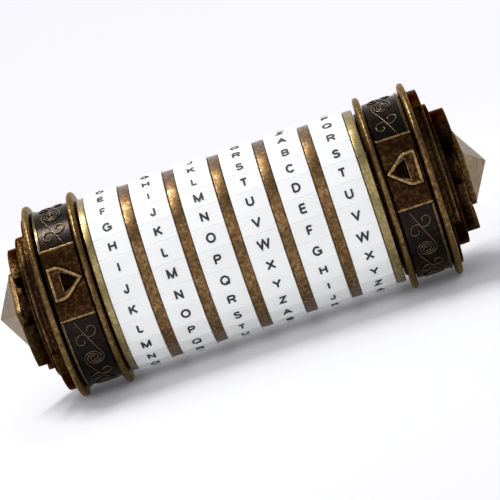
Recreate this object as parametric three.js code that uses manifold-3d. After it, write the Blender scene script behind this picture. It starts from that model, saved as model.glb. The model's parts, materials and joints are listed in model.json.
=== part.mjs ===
// A cryptex: a cylinder lock that opens when six letter rings are turned to the right word.
//
// The fixed half is an end cap with a slotted barrel screwed into it. Letter rings turn on the
// barrel, with keyed divider rings between them. The drawer is the other end cap, with a tube
// for a rolled note and a comb of teeth. The comb slides in the barrel's slot, and each tooth
// stands behind the web of one code ring, which lets it past only where the web is notched.
//
// Millimetres. +X runs along the barrel towards the drawer's cap, +Z is up, and -Y faces the
// reader of the letters. The lock lies on the flats of its four rims, on the plane Z = 0.

import * as THREE from 'three';
import { mergeVertices } from 'three/addons/utils/BufferGeometryUtils.js';
import Module from 'manifold-3d';

const wasm = await Module();
wasm.setup();

// ---- driving dimensions ---------------------------------------------------------------------

const RIM_RADIUS = 25.0;            // to the flats of the rims, and the height of the axis
const RIM_SIDES = 28;               // flats around each rim, one of them underneath

// The ring stack, along X.
const RING_COUNT = 6;
const RING_PITCH = 11.78;
const LETTER_RING_WIDTH = 8.72;
const DIVIDER_WIDTH = 2.80;
const THRUST_RING_WIDTH = 1.90;
const LOCK_RING_WIDTH = 2.40;
const RUNNING_GAP = 0.13;           // beside a turning ring
const FIXED_SEAM = 0.40;            // between the thrust ring and the fixed cap
const DRAWER_SEAM = 0.85;           // between the lock ring and the drawer's cap
const BOSS_GAP = 0.25;              // left in each seam by the boss on the cap's face

// The ring stack, in radii.
const LETTERS = 26;                 // flats around a letter ring, one to a letter
const LETTER_RING_RADIUS = 23.1;    // to the corners between the flats
const LETTER_RING_BORE = 19.9;
const DIVIDER_RADIUS = 22.4;
const END_RING_RADIUS = 22.6;
const DRUM_RADIUS = 19.4;
const DRUM_BORE = 17.8;
const WEB_WIDTH = 3.2;
const SPINDLE_BORE = 14.45;         // bore of everything that sits on the barrel
const SPLINE_RADIUS = 20.3;         // tip of the code ring's lugs
const SPLINE_WIDTH = 3.2;
const SPLINE_TIP_GAP = 0.4;
const SPLINE_SIDE_GAP = 0.35;
const KEY_TIP_RADIUS = 12.5;        // of the key inside each ring that can't turn
const KEY_WIDTH = 2.4;

// Barrel, tube and comb.
const BARREL_RADIUS = 13.9;
const BARREL_BORE = 12.1;
const TUBE_RADIUS = 11.3;
const TUBE_BORE = 9.8;
const TUBE_FLOOR = 1.8;
const TUBE_MOUTH_INSET = 1.6;       // from the barrel's flange to the tube's mouth
const FLANGE_RADIUS = 18.5;
const FLANGE_WIDTH = 1.8;
const SLOT_WIDTH = 4.6;
const KEYWAY_WIDTH = 3.0;
const COMB_WIDTH = 3.4;
const COMB_SEAT_RADIUS = 11.5;      // underside of the bar, on the tube
const COMB_RADIUS = 13.0;           // top of the bar between the teeth
const COMB_START_INSET = 0.2;       // from the first letter ring
const COMB_END_INSET = 0.8;         // from the end of the barrel
const TOOTH_RADIUS = 17.0;
const TOOTH_THICKNESS = 2.6;
const TOOTH_INSET = 1.1;            // from the left edge of its letter ring to each tooth
const NOTCH_WIDTH = 4.6;

// Where the rings and caps stand round the axis, in degrees above the horizontal at -Y.
const CODE_ROW_DEG = 17.1;
const SHIELD_DEG = 1.5 * 360 / RIM_SIDES;               // so that a flat of each rim is underneath
const HAND_SET_DEG = [0.6, 0.6, 0.0, 0.3, -0.6, -0.9];   // how far each ring is off the row

// An end cap, along its own axis from the face next to the rings, outwards.
const INNER_RIM_WIDTH = 1.75;
const BAND_CHANNEL_WIDTH = 9.80;
const OUTER_RIM_WIDTH = 1.90;
const RIM_LAND = 0.90;              // flat crest of a rim
const RIM_SHOULDER = 23.9;
const CHANNEL_RADIUS = 21.6;
const BOSS_RADIUS = 21.2;           // closes the seam beside the ring stack
const CAP_BORE = 18.9;
const LIP_BORE = 14.5;
const LIP_WIDTH = 2.5;
const BAND_INNER_RADIUS = 21.9;
const BAND_RADIUS = 22.9;
const BAND_SIDE_GAP = 0.12;
const SHIELD_HALF_DEG = 24.0;
const SHIELD_GAP_DEG = 0.8;
const SHIELD_RADIUS = 23.3;
const EMBLEM_RADIUS = 23.9;
const EMBLEM_HALF_WIDTH = 4.3;
const EMBLEM_FOOT = 10.4;           // flat end of the emblem
const EMBLEM_WAIST = 7.4;           // where its sides start to close in
const EMBLEM_POINT = 2.0;
const EMBLEM_TAPER = 0.5;           // share of its width left half way to the point
const EMBLEM_SETTING = 0.5;         // from the back of the plate to the emblem's root
const WINDOW_HALF_WIDTH = 2.45;     // the sunk triangle in the emblem
const WINDOW_FOOT = 7.5;
const WINDOW_POINT = 3.65;

// The stepped end of a cap, in heights over the outer rim's face.
const SEAT_GAP = 0.05;              // between two castings that are clamped face to face
const SPIGOT_RADIUS = 18.5;
const SPIGOT_BORE = 15.6;
const SPIGOT_LENGTH = 4.0;
const BASE_RADIUS = 22.4;
const BASE_HEIGHT = 0.8;
const THICK_STEP = { radius: 22.4, height: 2.5, from: -132.0, to: -42.5 };
const FRONT_STEP = { radius: 21.5, height: 2.6, from: -42.5, to: 43.5 };
const REAR_STEP = { radius: 21.5, height: 2.6, from: 138.0, to: 228.0 };
const TIER_RADIUS = 18.2;
const TIER_HEIGHT = 3.8;
const BLOCK_RADIUS = 16.1;
const BLOCK_INNER_RADIUS = 11.4;
const BLOCK_HALF_DEG = 24.0;
const BLOCKS = [
  { height: 7.6, centre: -47.0 },
  { height: 6.5, centre: 46.5 },
  { height: 7.6, centre: 136.5 },
  { height: 6.5, centre: 226.5 },
];
const POST_RADIUS = 9.2;
const POST_HEIGHT = 7.1;
const HUB_CORNER_RADIUS = 10.4;
const HUB_TOP = 8.5;
const FINIAL_CORNER_RADIUS = 9.8;
const FINIAL_TOP = 13.85;
const CORNER_DEG = -11.0;           // one corner of the hub and finial, from the shield

// Screws.
const FLANGE_SCREW_CIRCLE = 16.6;
const FLANGE_SCREW_DEGS = [60, 180, 300];
const FLANGE_SCREW = { head: 1.7, headHeight: 1.2, shank: 0.9, length: 3.6 };
const FINIAL_SCREW = { head: 3.4, headHeight: 1.8, shank: 1.5, length: 10.6 };
const COMB_SCREW = { head: 1.2, headHeight: 0.6, shank: 0.6, length: 3.0 };
const COMB_SCREW_SETBACK = 4.0;     // from each end of the comb
const SCREW_GAP = 0.3;              // around a shank and under a head
const SCREW_SIDES = 10;
const PAN_CROWN = 0.75;             // flat top of a screw's head, as a share of its radius
const PAN_RIM = 0.4;                // straight side of a head, as a share of its height

const ROUND_SIDES = 28;
const BORE_SIDES = 20;

const OVERRUN = 1.0;                // how far a cut runs past a surface, or a joined solid into it
const WELD_DISTANCE = 1e-4;

// ---- derived places -------------------------------------------------------------------------

const CAP_RIM_FACE = INNER_RIM_WIDTH + BAND_CHANNEL_WIDTH + OUTER_RIM_WIDTH;
const CAP_LENGTH = CAP_RIM_FACE + FINIAL_TOP;
const STACK_HALF = ((RING_COUNT - 1) * RING_PITCH + LETTER_RING_WIDTH) / 2 + RUNNING_GAP;
const LEFT_REACH = STACK_HALF + THRUST_RING_WIDTH + FIXED_SEAM + CAP_LENGTH;
const RIGHT_REACH = STACK_HALF + LOCK_RING_WIDTH + DRAWER_SEAM + CAP_LENGTH;
const STACK_CENTRE = (LEFT_REACH - RIGHT_REACH) / 2;      // so that X = 0 is half the length
const FIXED_CAP_FACE = STACK_CENTRE - LEFT_REACH + CAP_LENGTH;
const DRAWER_CAP_FACE = STACK_CENTRE + RIGHT_REACH - CAP_LENGTH;
const STACK_START = STACK_CENTRE - STACK_HALF + RUNNING_GAP;
const FLANGE_FACE = LIP_WIDTH + SEAT_GAP;                 // inside a cap, behind its lip

const ringStart = (index) => STACK_START + index * RING_PITCH;

// ---- materials ------------------------------------------------------------------------------

const metal = (color, roughness) => new THREE.MeshStandardMaterial({ color, roughness, metalness: 1.0 });

const bronze = metal(0x7a5c33, 0.42);
const darkBronze = metal(0x4c3a24, 0.48);
const gunmetal = metal(0x2b2825, 0.45);
const brushedBrass = metal(0xb3a065, 0.35);
const dividerBronze = metal(0x805536, 0.40);
const finialBrass = metal(0x9c8a68, 0.38);
const steel = metal(0x9a9a98, 0.30);
const machinedBrass = metal(0xb08d4a, 0.30);
const whiteEnamel = new THREE.MeshStandardMaterial({ color: 0xf4f5f6, roughness: 0.35, metalness: 0.0 });

// ---- solids ---------------------------------------------------------------------------------

const radians = THREE.MathUtils.degToRad;

function toSolid(geometry) {
  const shell = geometry.clone();
  shell.deleteAttribute('normal');
  shell.deleteAttribute('uv');
  const merged = mergeVertices(shell, WELD_DISTANCE);
  const vertProperties = new Float32Array(merged.attributes.position.array);
  const triVerts = new Uint32Array(merged.index.array);
  return new wasm.Manifold(new wasm.Mesh({ numProp: 3, vertProperties, triVerts }));
}

function toGeometry(solid) {
  const { vertProperties, triVerts } = solid.getMesh();
  const geometry = new THREE.BufferGeometry();
  geometry.setAttribute('position', new THREE.BufferAttribute(new Float32Array(vertProperties), 3));
  geometry.setIndex(new THREE.BufferAttribute(new Uint32Array(triVerts), 1));
  geometry.computeVertexNormals();
  return geometry;
}

// An outline of [x, r] points, taken clockwise as seen with x to the right and r up, turned
// about the X axis. It is closed on itself unless it starts and ends on the axis. Where `sides`
// is a multiple of four, a flat faces -Y, or a corner does if the first corner is at 0.
function turned(outline, sides, firstCorner = Math.PI / sides) {
  const startsOnAxis = outline[0][1] === 0;
  const profile = startsOnAxis ? outline : [...outline, outline[0]];
  const points = profile.map(([x, r]) => new THREE.Vector2(r, x));
  const geometry = new THREE.LatheGeometry(points, sides, firstCorner);
  geometry.rotateZ(-Math.PI / 2);
  return geometry;
}

// A plain ring or, with no bore, a disc. The radius is to its corners.
function ring(x0, x1, bore, radius, sides) {
  if (bore === 0) {
    const disc = new THREE.CylinderGeometry(radius, radius, x1 - x0, sides, 1, false, Math.PI / sides);
    disc.rotateZ(-Math.PI / 2);
    disc.translate((x0 + x1) / 2, 0, 0);
    return disc;
  }
  return turned([[x0, bore], [x0, radius], [x1, radius], [x1, bore]], sides);
}

// A flat outline of [y, z] points, extruded along X.
function prism(outline, x0, x1) {
  const shape = new THREE.Shape(outline.map(([y, z]) => new THREE.Vector2(y, z)));
  const geometry = new THREE.ExtrudeGeometry(shape, { depth: x1 - x0, bevelEnabled: false });
  const toPart = new THREE.Matrix4().makeBasis(
    new THREE.Vector3(0, 1, 0),
    new THREE.Vector3(0, 0, 1),
    new THREE.Vector3(1, 0, 0),
  );
  geometry.applyMatrix4(toPart);
  geometry.translate(x0, 0, 0);
  return geometry;
}

// A direction in the YZ plane: 0 degrees is -Y, and positive turns towards -Z.
function polar(radius, degrees) {
  return [-radius * Math.cos(radians(degrees)), -radius * Math.sin(radians(degrees))];
}

// Part of a ring, between two directions.
function sector(x0, x1, bore, radius, fromDeg, toDeg) {
  const steps = Math.max(2, Math.round((toDeg - fromDeg) / (360 / ROUND_SIDES)));
  const stepDeg = (toDeg - fromDeg) / steps;
  const outline = [];
  for (let i = 0; i <= steps; i += 1) {
    outline.push(polar(radius, fromDeg + i * stepDeg));
  }
  for (let i = steps; i >= 0; i -= 1) {
    outline.push(polar(bore, fromDeg + i * stepDeg));
  }
  return prism(outline, x0, x1);
}

// A straight bar along X, standing out radially in a direction `degrees` above the horizontal.
function radialBar(x0, x1, r0, r1, width, degrees) {
  const bar = new THREE.BoxGeometry(x1 - x0, r1 - r0, width);
  bar.translate((x0 + x1) / 2, -(r0 + r1) / 2, 0);
  bar.rotateX(radians(-degrees));
  return bar;
}

// A pan-headed screw along X, with the underside of its head at x = 0 and its shank towards +X.
function screwGeometry({ head, headHeight, shank, length }) {
  return turned([
    [-headHeight, 0],
    [-headHeight, head * PAN_CROWN],
    [-headHeight * PAN_RIM, head],
    [0, head],
    [0, shank],
    [length, shank],
    [length, 0],
  ], SCREW_SIDES);
}

function screwHole(screw, x0, x1) {
  return ring(x0, x1, 0, screw.shank + SCREW_GAP, SCREW_SIDES);
}

function part(name, geometry, material) {
  const mesh = new THREE.Mesh(geometry, material);
  mesh.name = name;
  return mesh;
}

// ---- barrel, rings and dividers -------------------------------------------------------------

const barrelEnd = STACK_CENTRE + STACK_HALF + LOCK_RING_WIDTH;
const barrelStart = FIXED_CAP_FACE - FLANGE_FACE - FLANGE_WIDTH;

function outerBarrel() {
  const flangeFront = barrelStart + FLANGE_WIDTH;
  let solid = toSolid(turned([
    [barrelStart, BARREL_BORE],
    [barrelStart, FLANGE_RADIUS],
    [flangeFront, FLANGE_RADIUS],
    [flangeFront, BARREL_RADIUS],
    [barrelEnd, BARREL_RADIUS],
    [barrelEnd, BARREL_BORE],
  ], BORE_SIDES));
  const slotStart = FIXED_CAP_FACE + SEAT_GAP;
  const slotEnd = barrelEnd + OVERRUN;
  const cut = [BARREL_BORE - OVERRUN, BARREL_RADIUS + OVERRUN];
  const slot = radialBar(slotStart, slotEnd, ...cut, SLOT_WIDTH, CODE_ROW_DEG);
  const keyway = radialBar(slotStart, slotEnd, ...cut, KEYWAY_WIDTH, CODE_ROW_DEG + 180);
  solid = solid.subtract(toSolid(slot)).subtract(toSolid(keyway));
  for (const degrees of FLANGE_SCREW_DEGS) {
    const hole = screwHole(FLANGE_SCREW, barrelStart - OVERRUN, flangeFront + OVERRUN);
    const [y, z] = polar(FLANGE_SCREW_CIRCLE, degrees - SHIELD_DEG);
    hole.translate(0, y, z);
    solid = solid.subtract(toSolid(hole));
  }
  return toGeometry(solid);
}

// A ring that can't turn: its key sits in the barrel's keyway, and its notch lets the teeth by.
function keyedRing(x0, x1, radius) {
  let solid = toSolid(ring(x0, x1, SPINDLE_BORE, radius, ROUND_SIDES));
  const keyDeg = CODE_ROW_DEG + 180;
  const key = radialBar(x0, x1, KEY_TIP_RADIUS, SPINDLE_BORE + OVERRUN, KEY_WIDTH, keyDeg);
  const notch = radialBar(
    x0 - OVERRUN, x1 + OVERRUN, SPINDLE_BORE - OVERRUN, DRUM_BORE, NOTCH_WIDTH, CODE_ROW_DEG);
  solid = solid.add(toSolid(key)).subtract(toSolid(notch));
  return toGeometry(solid);
}

// Both halves of a letter ring turn together. The code ring is made with its notch on the row.
function letterRing(x0) {
  const x1 = x0 + LETTER_RING_WIDTH;
  let solid = toSolid(ring(x0, x1, LETTER_RING_BORE, LETTER_RING_RADIUS, LETTERS));
  for (const side of [90, 270]) {
    const keyway = radialBar(
      x0 - OVERRUN, x1 + OVERRUN, LETTER_RING_BORE - OVERRUN, SPLINE_RADIUS + SPLINE_TIP_GAP,
      SPLINE_WIDTH + 2 * SPLINE_SIDE_GAP, side);
    solid = solid.subtract(toSolid(keyway));
  }
  return toGeometry(solid);
}

function codeRing(x0) {
  const x1 = x0 + LETTER_RING_WIDTH;
  let solid = toSolid(turned([
    [x0, DRUM_BORE],
    [x0, DRUM_RADIUS],
    [x1, DRUM_RADIUS],
    [x1, SPINDLE_BORE],
    [x1 - WEB_WIDTH, SPINDLE_BORE],
    [x1 - WEB_WIDTH, DRUM_BORE],
  ], BORE_SIDES));
  for (const side of [90, 270]) {
    const lug = radialBar(x0, x1, DRUM_BORE + OVERRUN, SPLINE_RADIUS, SPLINE_WIDTH, side);
    solid = solid.add(toSolid(lug));
  }
  const notch = radialBar(
    x1 - WEB_WIDTH - OVERRUN, x1 + OVERRUN, SPINDLE_BORE - OVERRUN, DRUM_BORE, NOTCH_WIDTH, 0);
  return toGeometry(solid.subtract(toSolid(notch)));
}

// ---- drawer ---------------------------------------------------------------------------------

const tubeMouth = FIXED_CAP_FACE - FLANGE_FACE + TUBE_MOUTH_INSET;
const tubeFlangeStart = DRAWER_CAP_FACE + FLANGE_FACE;
const tubeEnd = tubeFlangeStart + FLANGE_WIDTH;

function innerTube() {
  let solid = toSolid(turned([
    [tubeEnd - TUBE_FLOOR, 0],
    [tubeEnd - TUBE_FLOOR, TUBE_BORE],
    [tubeMouth, TUBE_BORE],
    [tubeMouth, TUBE_RADIUS],
    [tubeFlangeStart, TUBE_RADIUS],
    [tubeFlangeStart, FLANGE_RADIUS],
    [tubeEnd, FLANGE_RADIUS],
    [tubeEnd, 0],
  ], BORE_SIDES));
  for (const degrees of FLANGE_SCREW_DEGS) {
    const hole = screwHole(FLANGE_SCREW, tubeFlangeStart - OVERRUN, tubeEnd + OVERRUN);
    const [y, z] = polar(FLANGE_SCREW_CIRCLE, degrees - SHIELD_DEG);
    hole.translate(0, y, z);
    solid = solid.subtract(toSolid(hole));
  }
  for (const x of combScrewPlaces()) {
    solid = solid.subtract(toSolid(combScrewHole(x)));
  }
  return toGeometry(solid);
}

const combStart = STACK_START + COMB_START_INSET;
const combEnd = barrelEnd - COMB_END_INSET;

function combScrewPlaces() {
  return [combStart + RING_PITCH / 2 + COMB_SCREW_SETBACK, combEnd - COMB_SCREW_SETBACK];
}

function combScrewHole(x) {
  const hole = screwHole(COMB_SCREW, TUBE_BORE - OVERRUN, COMB_RADIUS + OVERRUN);
  hole.rotateZ(-Math.PI / 2);
  hole.translate(x, 0, 0);
  hole.rotateX(radians(-CODE_ROW_DEG));
  return hole;
}

function toothComb() {
  let solid = toSolid(radialBar(
    combStart, combEnd, COMB_SEAT_RADIUS, COMB_RADIUS, COMB_WIDTH, CODE_ROW_DEG));
  for (let i = 0; i < RING_COUNT; i += 1) {
    const x0 = ringStart(i) + TOOTH_INSET;
    const tooth = radialBar(
      x0, x0 + TOOTH_THICKNESS, COMB_RADIUS - OVERRUN, TOOTH_RADIUS, COMB_WIDTH, CODE_ROW_DEG);
    solid = solid.add(toSolid(tooth));
  }
  for (const x of combScrewPlaces()) {
    solid = solid.subtract(toSolid(combScrewHole(x)));
  }
  return toGeometry(solid);
}

// ---- end caps -------------------------------------------------------------------------------
// Each cap is made with its own axis along +X, outwards, and its shield facing -Y.

function rimOutline(x0, width, land) {
  const middle = x0 + width / 2;
  const crest = RIM_RADIUS / Math.cos(Math.PI / RIM_SIDES);
  return [
    [x0, RIM_SHOULDER],
    [middle - land / 2, crest],
    [middle + land / 2, crest],
    [x0 + width, RIM_SHOULDER],
  ];
}

function collar(seam) {
  const channelEnd = CAP_RIM_FACE - OUTER_RIM_WIDTH;
  const bossFace = BOSS_GAP - seam;
  let solid = toSolid(turned([
    [bossFace, LIP_BORE],
    [bossFace, BOSS_RADIUS],
    [0, BOSS_RADIUS],
    ...rimOutline(0, INNER_RIM_WIDTH, RIM_LAND),
    [INNER_RIM_WIDTH, CHANNEL_RADIUS],
    [channelEnd, CHANNEL_RADIUS],
    ...rimOutline(channelEnd, OUTER_RIM_WIDTH, RIM_LAND),
    [CAP_RIM_FACE, CAP_BORE],
    [LIP_WIDTH, CAP_BORE],
    [LIP_WIDTH, LIP_BORE],
  ], RIM_SIDES, 0));
  for (const degrees of FLANGE_SCREW_DEGS) {
    const hole = screwHole(FLANGE_SCREW, bossFace - OVERRUN, LIP_WIDTH + OVERRUN);
    const [y, z] = polar(FLANGE_SCREW_CIRCLE, degrees);
    hole.translate(0, y, z);
    solid = solid.subtract(toSolid(hole));
  }
  return toGeometry(solid);
}

const bandStart = INNER_RIM_WIDTH + BAND_SIDE_GAP;
const bandEnd = INNER_RIM_WIDTH + BAND_CHANNEL_WIDTH - BAND_SIDE_GAP;

function scrollBand() {
  const gap = SHIELD_HALF_DEG + SHIELD_GAP_DEG;
  return sector(bandStart, bandEnd, BAND_INNER_RADIUS, BAND_RADIUS, gap, 360 - gap);
}

// An outline of [x, z] points as seen from -Y, extruded from one depth to another along Y.
function badge(outline, window, r0, r1) {
  const shape = new THREE.Shape(outline.map(([x, z]) => new THREE.Vector2(x, z)));
  if (window) {
    shape.holes.push(new THREE.Path(window.map(([x, z]) => new THREE.Vector2(x, z))));
  }
  const geometry = new THREE.ExtrudeGeometry(shape, { depth: r1 - r0, bevelEnabled: false });
  geometry.rotateX(Math.PI / 2);
  geometry.translate(0, -r0, 0);
  return geometry;
}

function shieldPlate() {
  const plate = sector(
    bandStart, bandEnd, BAND_INNER_RADIUS, SHIELD_RADIUS, -SHIELD_HALF_DEG, SHIELD_HALF_DEG);
  const narrowing = (EMBLEM_WAIST + EMBLEM_POINT) / 2;
  const outline = [
    [EMBLEM_POINT, 0],
    [narrowing, -EMBLEM_HALF_WIDTH * EMBLEM_TAPER],
    [EMBLEM_WAIST, -EMBLEM_HALF_WIDTH],
    [EMBLEM_FOOT, -EMBLEM_HALF_WIDTH],
    [EMBLEM_FOOT, EMBLEM_HALF_WIDTH],
    [EMBLEM_WAIST, EMBLEM_HALF_WIDTH],
    [narrowing, EMBLEM_HALF_WIDTH * EMBLEM_TAPER],
  ];
  const window = [
    [WINDOW_FOOT, -WINDOW_HALF_WIDTH],
    [WINDOW_FOOT, WINDOW_HALF_WIDTH],
    [WINDOW_POINT, 0],
  ];
  const emblem = badge(outline, window, BAND_INNER_RADIUS + EMBLEM_SETTING, EMBLEM_RADIUS);
  return toGeometry(toSolid(plate).add(toSolid(emblem)));
}

const seat = CAP_RIM_FACE + SEAT_GAP;

function endCasting() {
  let solid = toSolid(ring(seat, CAP_RIM_FACE + BASE_HEIGHT, 0, BASE_RADIUS, ROUND_SIDES));
  const spigotRoot = CAP_RIM_FACE + BASE_HEIGHT / 2;
  const spigot = ring(seat - SPIGOT_LENGTH, spigotRoot, SPIGOT_BORE, SPIGOT_RADIUS, ROUND_SIDES);
  solid = solid.add(toSolid(spigot));
  for (const { radius, height, from, to } of [THICK_STEP, FRONT_STEP, REAR_STEP]) {
    const step = sector(seat, CAP_RIM_FACE + height, POST_RADIUS, radius, from, to);
    solid = solid.add(toSolid(step));
  }
  const tier = ring(seat, CAP_RIM_FACE + TIER_HEIGHT, 0, TIER_RADIUS, ROUND_SIDES);
  const post = ring(seat, CAP_RIM_FACE + POST_HEIGHT, 0, POST_RADIUS, ROUND_SIDES);
  solid = solid.add(toSolid(tier)).add(toSolid(post));
  for (const { height, centre } of BLOCKS) {
    const block = sector(
      CAP_RIM_FACE + BASE_HEIGHT, CAP_RIM_FACE + height, BLOCK_INNER_RADIUS, BLOCK_RADIUS,
      centre - BLOCK_HALF_DEG, centre + BLOCK_HALF_DEG);
    solid = solid.add(toSolid(block));
  }
  const hole = screwHole(FINIAL_SCREW, seat - OVERRUN, CAP_RIM_FACE + POST_HEIGHT + OVERRUN);
  return toGeometry(solid.subtract(toSolid(hole)));
}

function squareOutline(cornerRadius) {
  return [0, 90, 180, 270].map((turn) => polar(cornerRadius, CORNER_DEG + turn));
}

function hubPlate() {
  const x0 = CAP_RIM_FACE + POST_HEIGHT + SEAT_GAP;
  const x1 = CAP_RIM_FACE + HUB_TOP;
  const plate = toSolid(prism(squareOutline(HUB_CORNER_RADIUS), x0, x1));
  return toGeometry(plate.subtract(toSolid(screwHole(FINIAL_SCREW, x0 - OVERRUN, x1 + OVERRUN))));
}

const finialScrewStart = seat - SCREW_GAP;

function finial() {
  const x0 = CAP_RIM_FACE + HUB_TOP + SEAT_GAP;
  const pyramid = new THREE.ConeGeometry(FINIAL_CORNER_RADIUS, CAP_LENGTH - x0, 4);
  pyramid.rotateZ(-Math.PI / 2);
  pyramid.rotateX(radians(CORNER_DEG));
  pyramid.translate((x0 + CAP_LENGTH) / 2, 0, 0);
  const holeEnd = finialScrewStart + FINIAL_SCREW.length + SCREW_GAP;
  return toGeometry(toSolid(pyramid).subtract(toSolid(screwHole(FINIAL_SCREW, x0 - OVERRUN, holeEnd))));
}

function flangeScrews(prefix) {
  return FLANGE_SCREW_DEGS.map((degrees, index) => {
    const geometry = screwGeometry(FLANGE_SCREW);
    geometry.rotateY(Math.PI);
    const [y, z] = polar(FLANGE_SCREW_CIRCLE, degrees);
    geometry.translate(FLANGE_FACE + FLANGE_WIDTH + SCREW_GAP, y, z);
    return part(`${prefix}_flange_screw_${index + 1}`, geometry, steel);
  });
}

function capPieces(prefix, seam) {
  const finialScrew = screwGeometry(FINIAL_SCREW);
  finialScrew.translate(finialScrewStart, 0, 0);
  return [
    part(`${prefix}_collar`, collar(seam), bronze),
    part(`${prefix}_scroll_band`, scrollBand(), gunmetal),
    part(`${prefix}_shield_plate`, shieldPlate(), bronze),
    part(`${prefix}_end_casting`, endCasting(), darkBronze),
    part(`${prefix}_hub_plate`, hubPlate(), darkBronze),
    part(`${prefix}_finial`, finial(), finialBrass),
    part(`${prefix}_finial_screw`, finialScrew, steel),
    ...flangeScrews(prefix),
  ];
}

// ---- assembly -------------------------------------------------------------------------------

const cryptex = new THREE.Group();
cryptex.position.z = RIM_RADIUS;

const drawerCap = new THREE.Group();
drawerCap.add(...capPieces('drawer', DRAWER_SEAM));
drawerCap.rotation.x = radians(-SHIELD_DEG);
drawerCap.position.x = DRAWER_CAP_FACE;
cryptex.add(drawerCap);

// The fixed cap is the same casting, turned about the line through its shield.
const fixedCap = new THREE.Group();
const turnedCap = new THREE.Group();
turnedCap.add(...capPieces('fixed', FIXED_SEAM));
turnedCap.rotation.y = Math.PI;
fixedCap.add(turnedCap);
fixedCap.rotation.x = radians(-SHIELD_DEG);
fixedCap.position.x = FIXED_CAP_FACE;
cryptex.add(fixedCap);

cryptex.add(part('outer_barrel', outerBarrel(), machinedBrass));

const thrustEnd = STACK_CENTRE - STACK_HALF;
const thrustRing = keyedRing(thrustEnd - THRUST_RING_WIDTH, thrustEnd, END_RING_RADIUS);
cryptex.add(part('thrust_ring', thrustRing, brushedBrass));

const lockRing = keyedRing(barrelEnd - LOCK_RING_WIDTH, barrelEnd, END_RING_RADIUS);
cryptex.add(part('lock_ring', lockRing, brushedBrass));

for (let i = 0; i < RING_COUNT; i += 1) {
  const turnedPair = new THREE.Group();
  turnedPair.add(part(`letter_ring_${i + 1}`, letterRing(ringStart(i)), whiteEnamel));
  turnedPair.add(part(`code_ring_${i + 1}`, codeRing(ringStart(i)), machinedBrass));
  turnedPair.rotation.x = radians(-(CODE_ROW_DEG + HAND_SET_DEG[i]));
  cryptex.add(turnedPair);
}

for (let i = 1; i < RING_COUNT; i += 1) {
  const middle = ringStart(i) - (RING_PITCH - LETTER_RING_WIDTH) / 2;
  const divider = keyedRing(middle - DIVIDER_WIDTH / 2, middle + DIVIDER_WIDTH / 2, DIVIDER_RADIUS);
  cryptex.add(part(`divider_ring_${i}`, divider, dividerBronze));
}

cryptex.add(part('inner_tube', innerTube(), machinedBrass));
cryptex.add(part('tooth_comb', toothComb(), steel));
combScrewPlaces().forEach((x, index) => {
  const geometry = screwGeometry(COMB_SCREW);
  geometry.rotateZ(Math.PI / 2);
  geometry.translate(x, -(COMB_RADIUS + SCREW_GAP), 0);
  geometry.rotateX(radians(-CODE_ROW_DEG));
  cryptex.add(part(`comb_screw_${index + 1}`, geometry, steel));
});

export default cryptex;
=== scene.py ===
"""Looks for the cryptex: fine castings, printed letters, patina, floor, lights and camera.

Shapes are worked out in millimetres and made into meshes in metres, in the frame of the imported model:
+X along the barrel towards the cap that pulls out, -Y towards the reader, +Z up. Letters are drawn
in cap heights, and the lights and the camera are placed in metres.
"""
import json
import math

import bmesh
import bpy
import numpy as np
from mathutils import Matrix, Vector


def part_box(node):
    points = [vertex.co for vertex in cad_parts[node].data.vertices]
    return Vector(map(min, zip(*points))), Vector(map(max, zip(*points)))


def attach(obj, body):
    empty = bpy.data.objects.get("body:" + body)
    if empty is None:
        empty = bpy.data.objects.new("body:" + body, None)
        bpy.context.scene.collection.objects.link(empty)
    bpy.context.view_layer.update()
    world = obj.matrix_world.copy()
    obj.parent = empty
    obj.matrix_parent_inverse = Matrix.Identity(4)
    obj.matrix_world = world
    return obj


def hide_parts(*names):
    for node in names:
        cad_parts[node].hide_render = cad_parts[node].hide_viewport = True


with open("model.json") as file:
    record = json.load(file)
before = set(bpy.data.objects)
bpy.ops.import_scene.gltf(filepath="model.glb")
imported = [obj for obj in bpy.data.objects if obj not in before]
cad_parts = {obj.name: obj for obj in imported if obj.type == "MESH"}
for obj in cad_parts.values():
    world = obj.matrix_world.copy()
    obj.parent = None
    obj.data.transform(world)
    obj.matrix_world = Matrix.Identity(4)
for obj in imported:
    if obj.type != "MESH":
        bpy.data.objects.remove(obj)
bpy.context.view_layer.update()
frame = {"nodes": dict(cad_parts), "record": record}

MM = 0.001

# ---- places, read from the frame, in millimetres ----


def span(node, axis):
    """Lowest and highest coordinate of a CAD node along one axis."""
    low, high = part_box(node)
    return low[axis] / MM, high[axis] / MM


X, Z = 0, 2
RIM_RADIUS = (span("drawer_collar", Z)[1] - span("drawer_collar", Z)[0]) / 2
AXIS_HEIGHT = sum(span("drawer_collar", Z)) / 2
CAP_RIM_FACE = 13.45         # from a cap's inner rim, next to the rings, to its outer rim's face
FIXED_FACE = span("fixed_collar", X)[0] + CAP_RIM_FACE
DRAWER_FACE = span("drawer_collar", X)[1] - CAP_RIM_FACE
BOSS = {                     # how far each collar reaches from its inner rim's face to the rings
    "fixed": span("fixed_collar", X)[1] - FIXED_FACE,
    "drawer": DRAWER_FACE - span("drawer_collar", X)[0],
}
BARREL_START, BARREL_END = span("outer_barrel", X)

# ---- angles, in degrees above the horizontal at -Y ----

CODE_ROW_DEG = 17.1
SHIELD_DEG = 19.286
HAND_SET_DEG = (0.6, 0.6, 0.0, 0.3, -0.6, -0.9)     # how far each letter ring is off the row
LETTERS = "ABCDEFGHIJKLMNOPQRSTUVWXYZ"
ROW_WORD = "ILOVEU"                                 # the letters on the row at rest
FACET_DEG = 360 / len(LETTERS)
TINY = 1e-6                  # slack for comparing two numbers that should be the same


# ---- mesh helpers ----


def new_mesh(name, points, faces):
    """A mesh from points in millimetres."""
    mesh = bpy.data.meshes.new(name)
    mesh.from_pydata([tuple(p) for p in np.asarray(points, float) * MM], [], faces)
    mesh.validate()
    return mesh


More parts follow.
